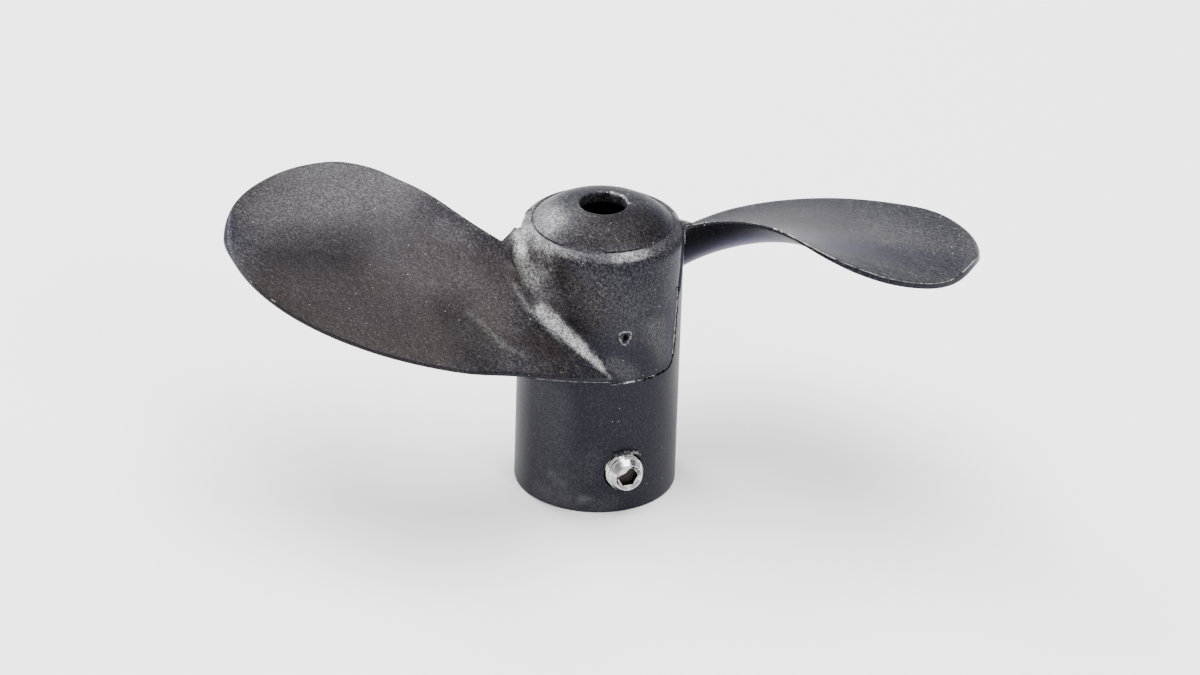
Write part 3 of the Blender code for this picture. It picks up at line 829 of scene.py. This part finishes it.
def ribShape(points, size):
    # a thin rib along a line of points, drawn out ring by ring
    f = flashLook
    path = evenPath(points, f["ringGap"])
    places = []
    for number, point in enumerate(path):
        ahead = path[min(number + 1, len(path) - 1)] - path[max(number - 1, 0)]
        thick = size * (1 + f["ragged"] * noise.noise(point * f["raggedScale"]))
        places.append(Matrix.LocRotScale(point, ahead.to_track_quat("Z", "Y"), (thick, thick, thick)))
    bm = bmesh.new()
    bmesh.ops.create_circle(bm, cap_ends=False, segments=f["sides"], radius=1)
    bmesh.ops.transform(bm, matrix=places[0], verts=bm.verts)
    edges = bm.edges[:]
    for before, after in zip(places, places[1:]):
        made = bmesh.ops.extrude_edge_only(bm, edges=edges)["geom"]
        moved = [part for part in made if isinstance(part, bmesh.types.BMVert)]
        bmesh.ops.transform(bm, matrix=after @ before.inverted(), verts=moved)
        edges = [edge for edge in made if isinstance(edge, bmesh.types.BMEdge)
                 and all(vert in moved for vert in edge.verts)]
    closeEnds(bm)
    return bm


def chipShape(place, size, seed):
    bm = bmesh.new()
    bmesh.ops.create_icosphere(bm, subdivisions=2, radius=size, matrix=Matrix.Translation(place))
    for vert in bm.verts:
        bend = noise.noise_vector(vert.co * flashLook["chipScale"] + Vector((seed, 0, 0)))
        vert.co += bend * size * flashLook["chipRagged"]
    return bm


def markPath():
    # a rounded triangle that points down
    f, radius = flashLook, hub["upperRadius"]
    angle, height = f["markPlace"]
    around = []
    for turn in map(radians, evenly(0, 360, f["markSteps"])):
        reach = f["markSize"] * (1 + f["markBend"] * cos(3 * (turn + pi / 2)))
        side = degrees(reach * cos(turn) / radius)
        around.append(onBarrel(angle + side, height + reach * f["markTall"] * sin(turn), radius))
    return around


def lipPath(hand, start, end):
    # a stretch of one blade's lip
    sink = flashLook["lipSink"]
    path = []
    for place in evenly(start, end, ceil(abs(end - start) * flashLook["lipSteps"])):
        angle, height = edgeAt(place)
        point = onBlade(edgeRadius(place) - sink, angle, height - sink)
        path.append(halfRound(point) if hand else point)
    return path


def lowLine():
    f = flashLook
    low = []
    for out in f["lowRadii"]:
        _, (angle, height) = edgesAt(out)
        low.append(onBlade(out, angle, height - thicknessAt(out, angle) * f["lowDepth"]))
    return low + [onBarrel(*place) for place in f["lowEnd"]]


def cornerLine():
    f, h = flashLook, hub
    # the path of a black line painted as shadow under the proud half's lower corner
    end = h["stepPaths"][0][1]
    corner = []
    for back in f["cornerBack"]:
        rise = h["cornerRise"] * shareBetween(-h["cornerAngle"], 0, back) ** 3
        height = h["proudFloor"] - f["cornerDrop"] + rise
        corner.append(onBarrel(end + back, height, h["radius"] + f["cornerOut"]))
    return corner


def sideLine(turn, out):
    return [onBarrel(alongPath(hub["stepPaths"], height) + turn, height, hub["upperRadius"] + out)
            for height in flashLook["sideHeights"]]


def webLine():
    web = []
    for out in evenly(flashLook["webFrom"], flashLook["webTo"], flashLook["webSteps"]):
        (angle, _), _ = edgesAt(out)
        web.append(halfRound(facePoint(out, angle + webTurn(out))))
    return web


def flashAndShadowRibs():
    # lines of flash left where the halves of the mould met, and black lines painted as shadow under the proud
    # half's corner and beside its right end: points, thickness, how white
    f, h = flashLook, hub
    front = [onBarrel(angle, h["proudFloor"] - f["frontSink"], h["upperRadius"] - f["frontSink"])
             for angle in f["frontAngles"]]
    corner = cornerLine()
    seam = [onBarrel(angle, height, h["upperRadius"] + f["seamOut"]) for angle, height in f["seamPlaces"]]
    ribs = [(lowLine(), *f["low"]), (front, *f["front"]), (front[f["thickPart"]], *f["frontThick"]),
            (front[f["tornPart"]], *f["frontTorn"]), (sideLine(f["sideTurn"], f["sideOut"]), *f["side"]),
            (corner, *f["corner"]), (corner[-1:] + sideLine(f["gapTurn"], 0), *f["sideGapShadow"]),
            (webLine(), *f["web"]), (seam, *f["seam"]), (markPath(), *f["mark"])]
    return ribs + [(lipPath(hand, start, end), thick, white) for hand, start, end, thick, white in f["lips"]]


def addFlashAndShadowLines(bm):
    # the ribs, the painted shadow lines and the chips join the moulding, and a layer keeps how white each one
    # is, or how black a painted shadow line is
    noise.seed_set(flashLook["chipSeed"])      # the same flakes of swarf each run
    layer = bm.verts.layers.float.new("flashAndShadow")
    shapes = [(ribShape(points, flashLook["size"] * thick), white) for points, thick, white in flashAndShadowRibs()]
    for number, (side, above, out, size, white) in enumerate(flashLook["chips"]):
        place = onBarrel(screw["angle"] + degrees(side / out), screw["height"] + above, out)
        shapes.append((chipShape(place, size, number), white))
    for shape, white in shapes:
        mesh = bpy.data.meshes.new("flashAndShadow")
        shape.to_mesh(mesh)
        shape.free()
        before = len(bm.verts)
        bm.from_mesh(mesh)
        bpy.data.meshes.remove(mesh)
        bm.verts.ensure_lookup_table()
        for vert in bm.verts[before:]:
            vert[layer] = white


def buildMoulding():
    s = screw
    steps = []
    for turn in (0, 180):
        steps += [("UNION", turnedBy(proudShape(), turn)), ("UNION", turnedBy(bladeShape(), turn))]
    steps.append(("DIFFERENCE", pocketShape()))
    screwHole = barShape(s["holeSides"], s["holeRadius"], s["innerEnd"], s["outerEnd"])
    steps.append(("DIFFERENCE", layOnScrewAxis(screwHole)))
    barrel = wearGroove(turnedShape(hubProfile(), hub["turnSteps"], closed=True))
    bm = carve("moulding", barrel, steps)
    bmesh.ops.remove_doubles(bm, verts=bm.verts, dist=hub["mergeGap"])
    bmesh.ops.dissolve_degenerate(bm, edges=bm.edges, dist=hub["mergeGap"])
    softenRoots(bm)
    softenRing(bm)
    addFlashAndShadowLines(bm)
    return bm


# wear, painted highlights and painted shade on the moulding, painted on its points: each stroke runs from one
# place to another (mm)

wearAndPaintedLight = {
    # scuffs and painted highlights (the highlight band down the left root's fillet, the bump's ridge, the
    # light line at the seam's edge): from, to, full within, gone beyond, strength; these are repeated fainter
    # at the right blade's root
    "rootScuffsAndHighlights": [
        ((-12.2, -14.6, 46.8), (-9.4, -16.1, 44.6), 0.3, 2.3, 0.85),
        ((-9.2, -16.2, 44.6), (-3.4, -18.5, 40.1), 0.3, 1.9, 0.92),
        ((-3.6, -18.6, 40), (0.6, -19.3, 36.3), 0.2, 1.4, 0.75),
        ((0.9, -19.3, 35.9), (2.2, -19.3, 34), 0.1, 1.1, 0.35),
        ((-17, -4, 59.2), (-16.1, -7.7, 56.9), 0.5, 3, 0.5),
        ((-16.1, -7.7, 56.9), (-13.2, -11.7, 52.5), 0.3, 3.2, 0.38),
        ((-13.2, -11.7, 52.5), (-12.2, -12.8, 50), 0.2, 3, 0.2),
        ((-20, -9.6, 52.6), (-14.6, -14.8, 46.8), 0.1, 0.8, 0.16),
        ((-14.6, -14.8, 46.8), (-8, -18.6, 41.7), 0.1, 0.7, 0.14),
    ],
    "backReach": 26, "backStrength": 0.6,
    # more scuffs and painted highlights, among them the white glints on the hole's rim
    "scuffsAndHighlights": [
        ((-11.5, -13.1, 58), (-11.3, -13.3, 54.5), 0.5, 3.4, 0.22),
        ((-13.6, -9.6, 59.3), (-12.6, -11.4, 56.5), 0.4, 2.4, 0.24),
        ((-17.2, -8.2, 55.6), (-15.4, -11.2, 51), 0.3, 1.8, 0.16),
        ((-78.4, 6, 57), (-77.6, -8, 54.6), 0.3, 1.6, 0.08),
        ((-11.2, -13.4, 54.5), (-9.8, -14.4, 50.5), 0.5, 3.4, 0.13),
        ((-13.2, 3.4, 61.2), (-12, -5.4, 61.4), 0.3, 6.5, 0.32),
        ((-11.4, -2.5, 62.2), (-10, -6.6, 62.2), 0.3, 4.5, 0.21),
        ((-7, -8, 62.4), (-3, -3, 63.9), 1, 7, 0.06),
        ((1.5, 5, 64.4), (3.7, 3.7, 64.4), 0.15, 0.5, 0.55),
        ((3.7, 3.7, 64.4), (5.2, 0.4, 64.4), 0.15, 0.5, 0.55),
        ((11.8, -13, 42), (14, -10.4, 36), 1, 4.5, 0.07),
        ((-4, -17, 54), (6, -16.4, 46), 2, 9, 0.04),
        ((3, -16.8, 36), (6.6, -15.8, 33), 0.6, 3, 0.08),
        ((-62, 22, 59.6), (-44, 9, 60.8), 2, 13, 0.055),
        ((-70, 6, 56), (-58, 6, 57.5), 2, 12, 0.05),
        ((-70, -3, 55.6), (-66, -5, 55.4), 0.5, 4, 0.03),
        ((-33, -1.8, 58.6), (-29, -4, 57.6), 0.5, 4, 0.04),
        ((-36, -10, 54.4), (-20, -19, 47.4), 2.5, 8, 0.025),
        ((-26.7, -20.7, 48.7), (-19.8, -26.6, 44.8), 0.2, 1.5, 0.08),
        ((-19.8, -26.6, 44.8), (-14.8, -27.4, 42.7), 0.1, 1.2, 0.07),
        ((-28, -27, 46.8), (-20, -32, 43.4), 1, 5, 0.025),
        ((41.8, 25.5, 50), (30, 29.5, 47), 1, 8, 0.03),
        ((60, 10, 55), (70, -2, 55), 2, 14, 0.03),
        ((-1, -17.1, 13.5), (-4, -16.6, 3), 0.5, 4, 0.025),
    ],
    # worn ring on the shoulder, with a painted highlight: angle, strength
    "ringPaths": [(-180, 0.18), (-160, 0.32), (-132, 0.34), (-114, 0.16), (-98, 0.05), (-84, 0.18),
                  (-72, 0.6), (-62, 0.42), (-50, 0.05), (0, 0.03), (180, 0.12)],
    "ringInner": 15.1, "ringOuter": 16.65, "ringFade": 0.35, "ringFloor": 58.8,
    # grain: on what faces up, above a height, and on the barrel's upper side; least of all elsewhere
    "upperFloor": 31, "upperFacing": (-0.1, 0.4), "warmLess": 0.45,
    "sideGrain": 0.8, "sideHeights": (31.5, 50), "sideRadii": (20, 17.6), "leastGrain": 0.25,
    "warmPlaces": [
        ((-62, -24, 52), (-38, -28, 48.5), 8, 24, 0.9),
        ((-60, -6, 56), (-24, -10, 54), 3, 16, 0.5),
        ((-34, -8, 55), (-22, -12, 52), 2, 10, 0.5),
        ((-66, 10, 57), (-45, 8, 59), 6, 20, 0.45),
        ((-1, -9, 63), (6, -8, 63), 3, 9, 0.7),
        ((-12, -12, 55), (-4, -17, 48), 3, 10, 0.5),
        ((-30, -20, 48), (-12, -24, 42), 2, 11, 0.6),
    ],
    # haze and painted sheen: a highlight band down the barrel's front, lighter patches along the foot, and a
    # patch on the fillet
    "hazeAndSheenPlaces": [
        ((-9.2, -14.4, 26), (-8.6, -14.8, 3), 1.5, 7, 0.11),
        ((-11, -13, 2), (3, -16.8, 1.5), 0.5, 4.5, 0.1),
        ((-9.4, -14.3, 7.4), (-6.6, -15.7, 6.2), 0.2, 1.3, 0.16),
        ((-2.8, -16.9, 3.2), (0.4, -17.1, 4), 0.1, 0.8, 0.22),
        ((-12.6, -12, 53), (-9, -15, 47.5), 0.8, 4.5, 0.2),
    ],
    # painted shade: darker patches on the blades, the dome's front and the barrel's right
    "paintedShadePlaces": [
        ((-63, -5, 56), (-55, -7, 55.6), 2, 11, 0.32),
        ((-54, -5.5, 55.8), (-36, -9.5, 54.6), 1, 9, 0.06),
        ((-66, -12, 54.5), (-52, -14, 53.5), 2, 9, 0.18),
        ((-64, -19, 53.4), (-40, -24, 50), 3, 15, 0.14),
        ((-30, -20, 49.5), (-24, -32, 45), 1.5, 8, 0.4),
        ((-36, -9, 54.5), (-25, -12.5, 52.5), 2, 8, 0.2),
        ((46, -3, 58.3), (71, -7.5, 57.2), 1, 11, 0.3),
        ((-78.8, 9, 57.5), (-77.6, -12, 54), 0.9, 2.2, 0.45),
        ((-2, -10, 62.8), (10, -5, 63), 2.5, 7.5, 0.42),
        ((15.4, -8, 46), (14.9, -9, 33), 1, 4, 0.26),
    ],
    # painted shade on the right blade's underside
    "undersideShade": [((18.5, 6, 52), (46, 0, 57), 2, 9, 0.66)],
    # painted shade along the blades' low edges, taking the shine off the rounded lip: strength, from this
    # radius, beyond this share of the blade
    "rimShade": 0.25, "rimRadius": 24, "rimShare": 0.985,
    # painted shadow in the gap at the proud half's right end, under the right blade, and a dark spot in the
    # middle of the mark
    "shadowAndMarkPlaces": [
        ((17.2, -2.9, 56.2), (17.2, -3.2, 54), 1.6, 2.1, 1),
        ((17.2, -3.2, 54), (16.8, -4.9, 48), 1.1, 1.7, 1),
        ((5.5, -16.6, 42.1), (5.5, -16.6, 41.5), 0.4, 0.9, 0.7),
    ],
}


def strokeAt(point, strokes):
    # how strongly the strokes mark a place
    value = 0
    for start, end, full, gone, strength in strokes:
        start, end = Vector(start), Vector(end)
        along = end - start
        share = shareBetween(0, along.length_squared, (point - start).dot(along))
        gap = (point - start - along * share).length
        if gap < gone:
            edge = shareBetween(gone, full, gap)
            value += strength * edge * edge * (3 - 2 * edge)
    return value


def ringAt(point):
    # the worn ring on the shoulder, with a painted highlight
    w = wearAndPaintedLight
    out, fade = point.xy.length, w["ringFade"]
    if point.z < w["ringFloor"] or out < w["ringInner"] - fade or out > w["ringOuter"] + fade:
        return 0
    inner = shareBetween(w["ringInner"] - fade, w["ringInner"] + fade, out)
    outer = shareBetween(w["ringOuter"] + fade, w["ringOuter"], out)
    return alongPath(w["ringPaths"], angleOf(point)) * inner * outer


def paintWearAndLight(mesh):
    w = wearAndPaintedLight
    scuffsAndHighlights = w["rootScuffsAndHighlights"] + w["scuffsAndHighlights"]
    values = {name: [] for name in wearAndLightNames}
    flashAndShadow = mesh.attributes["flashAndShadow"].data
    for vert in mesh.vertices:
        point = vert.co / mm
        out = point.xy.length
        white = flashAndShadow[vert.index].value
        plain = white == 0      # not on a rib or a chip
        # scuffs with painted highlights, the worn ring's painted highlight, and whitened flash with its
        # painted highlight
        scuffAndHighlight = strokeAt(point, scuffsAndHighlights) + ringAt(point) if plain else max(0, white)
        if point.y > 0 and out < w["backReach"]:
            scuffAndHighlight += w["backStrength"] * strokeAt(halfRound(point), w["rootScuffsAndHighlights"])
        warm = min(1, strokeAt(point, w["warmPlaces"]))
        upper = shareBetween(*w["upperFacing"], vert.normal.z) if point.z > w["upperFloor"] else 0
        side = w["sideGrain"] * shareBetween(*w["sideHeights"], point.z) * shareBetween(*w["sideRadii"], out)
        coarse = max(upper * (1 - w["warmLess"] * warm), side, w["leastGrain"])
        # haze, which is also a painted sheen
        hazeAndSheen = strokeAt(point, w["hazeAndSheenPlaces"])
        # painted shade, more on faces that look down and along the blades' low edges
        paintedShade = strokeAt(point, w["paintedShadePlaces"])
        if vert.normal.z < 0:
            paintedShade += strokeAt(point, w["undersideShade"])
        if out > w["rimRadius"] and shareAt(out, besideLeftBlade(point)) > w["rimShare"]:
            paintedShade += w["rimShade"]
        # painted shadow: from the places above, and from the black lines laid where shadow falls
        sootAndShade = strokeAt(point, w["shadowAndMarkPlaces"]) if plain else max(0, -white)
        painted = (scuffAndHighlight, coarse, warm, hazeAndSheen * plain, paintedShade * plain, sootAndShade)
        for name, value in zip(wearAndLightNames, painted):
            values[name].append(min(1, value))
    for name in wearAndLightNames:
        layer = mesh.attributes.new(name=name, type="FLOAT", domain="POINT")
        layer.data.foreach_set("value", values[name])


plastic = mouldedPlastic()
moulding = finishPiece("mouldedPropeller", buildMoulding(), plastic, 40)
paintWearAndLight(moulding.data)
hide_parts("propeller_moulding")
print("moulding:", len(moulding.data.polygons), "faces")


# set screw: threaded, with chamfered ends and a hexagonal socket

def threadShape():
    s = screw
    pitch, minor = s["pitch"], s["radius"] - s["threadDepth"]
    profile = [(minor, 0), (minor, s["footWidth"] * pitch), (s["radius"], s["crestStart"] * pitch),
               (s["radius"], s["crestEnd"] * pitch), (minor, pitch)]
    turns = ceil((s["outerEnd"] - s["innerEnd"]) / pitch) + s["spareTurns"]
    bm = turnedShape(profile, s["turnSteps"], turns=turns, pitch=pitch)
    bmesh.ops.translate(bm, verts=bm.verts, vec=(0, 0, s["innerEnd"] - s["turnsBefore"] * pitch))
    for height, direction in ((s["innerEnd"] - s["spareEnd"], -1), (s["outerEnd"] + s["spareEnd"], 1)):
        bmesh.ops.bisect_plane(bm, geom=bm.verts[:] + bm.edges[:] + bm.faces[:],
                               plane_co=(0, 0, height), plane_no=(0, 0, direction), clear_outer=True)
    closeEnds(bm)
    return bm


def screwBlank():
    # the outline that the thread and its collar are cut to
    s = screw
    wide, bend = s["radius"] + s["spareSide"], s["roundRadius"]
    inward = wide - s["innerEndRadius"]
    points = [(0, s["innerEnd"]), (s["innerEndRadius"], s["innerEnd"]), (wide, s["innerEnd"] + inward)]
    points += arcPoints(s["radius"] - bend, s["outerEnd"] - s["chamfer"] - s["roundDrop"], bend,
                        0, s["roundTurn"], s["roundSteps"])
    points += [(s["endRadius"] + s["endRound"], s["outerEnd"] - s["endRound"]),
               (s["endRadius"], s["outerEnd"]), (s["rimRadius"], s["outerEnd"]), (0, s["outerEnd"])]
    return turnedShape(points, s["blankSteps"])


def socketShape():
    s = screw
    return barShape(6, s["flats"] / 2 / cos(pi / 6), s["outerEnd"] - s["socketDepth"],
                    s["outerEnd"] + s["spareCut"])


def sinkShape():
    # the shallow cone at the mouth of the socket
    s = screw
    slope = (s["rimRadius"] - s["sinkRadius"]) / s["sinkDepth"]
    floor, top = s["outerEnd"] - s["sinkDepth"], s["outerEnd"] + s["spareCut"]
    points = [(0, floor), (s["sinkRadius"], floor), (s["rimRadius"] + slope * s["spareCut"], top), (0, top)]
    return turnedShape(points, s["blankSteps"])


def drillShape():
    # the drilled end of the socket
    s = screw
    end = s["outerEnd"] - s["socketDepth"]
    top = end + s["spareEnd"]
    points = [(0, end - s["drillDepth"]), (s["drillRadius"], end), (s["drillRadius"], top), (0, top)]
    return turnedShape(points, s["turnSteps"])


def within(value, spans):
    return any(low < value < high for low, high in spans)


def paintScrew(mesh):
    # dirt and painted shade on each face: dirt thick down in the threads, dirt with painted shade on the
    # lower and right walls of the socket and part of its floor, and arcs of painted shade on the sunk cone
    # and the end
    s = screw
    axis = onBarrel(s["angle"], 0, 1)
    across = Vector((-axis.y, axis.x, 0))
    mouth = s["outerEnd"] - s["sinkDepth"]
    floor = s["outerEnd"] - s["socketDepth"] + s["aboveFloor"]
    layer = mesh.attributes.new(name="sootAndShade", type="FLOAT", domain="FACE")
    for face in mesh.polygons:
        place = face.center / mm - Vector((0, 0, s["height"]))
        along = place.dot(axis)
        out = (place - axis * along).length
        side = place.dot(across)
        turn = degrees(atan2(place.z, side))
        # the socket: dirt, darker as painted shade on its lower and right walls and over part of its floor
        if out < s["sinkRadius"] and floor < along < mouth:
            dirtAndShade = s["wallDirtAndShade"][0 if s["wallSlope"] * side - place.z > 0 else 1]
        elif out < s["sinkRadius"] and along < mouth:
            dirtAndShade = s["floorDirtAndShade"][0 if within(turn, [s["floorSpan"]]) else 1]
        # painted shade in arcs on the sunk cone
        elif out < s["rimRadius"]:
            dirtAndShade = s["sinkShade"] * within(turn, s["sinkSpans"])
        elif along < s["collarStart"]:
            dirtAndShade = shareBetween(s["radius"] - s["threadDirt"][0], s["radius"] - s["threadDirt"][1], out)
        # painted shade in arcs on the end's chamfer, on faces turned outward
        else:
            dirtAndShade = s["endShade"] * (face.normal.dot(axis) > s["endFacing"] and within(turn, s["endSpans"]))
        layer.data[face.index].value = dirtAndShade


def buildScrew():
    s = screw
    collar = barShape(s["collarSides"], s["radius"], s["collarStart"], s["outerEnd"] + s["spareSide"])
    bm = carve("screw", threadShape(), [("UNION", collar), ("INTERSECT", screwBlank()),
                                        ("DIFFERENCE", sinkShape()), ("DIFFERENCE", socketShape()),
                                        ("DIFFERENCE", drillShape())])
    bmesh.ops.remove_doubles(bm, verts=bm.verts, dist=s["mergeGap"])
    return layOnScrewAxis(bm)


screwPiece = finishPiece("threadedSetScrew", buildScrew(), screwSteel(), 25)
paintScrew(screwPiece.data)
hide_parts("set_screw")
print("set screw:", len(screwPiece.data.polygons), "faces")


# bushing: the frame's own solid, with a turned steel finish

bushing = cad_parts["shaft_bushing"]
bushingFinish = bushingSteel()
for place in range(len(bushing.material_slots)):
    bushing.material_slots[place].material = bushingFinish
print("bushing finished")
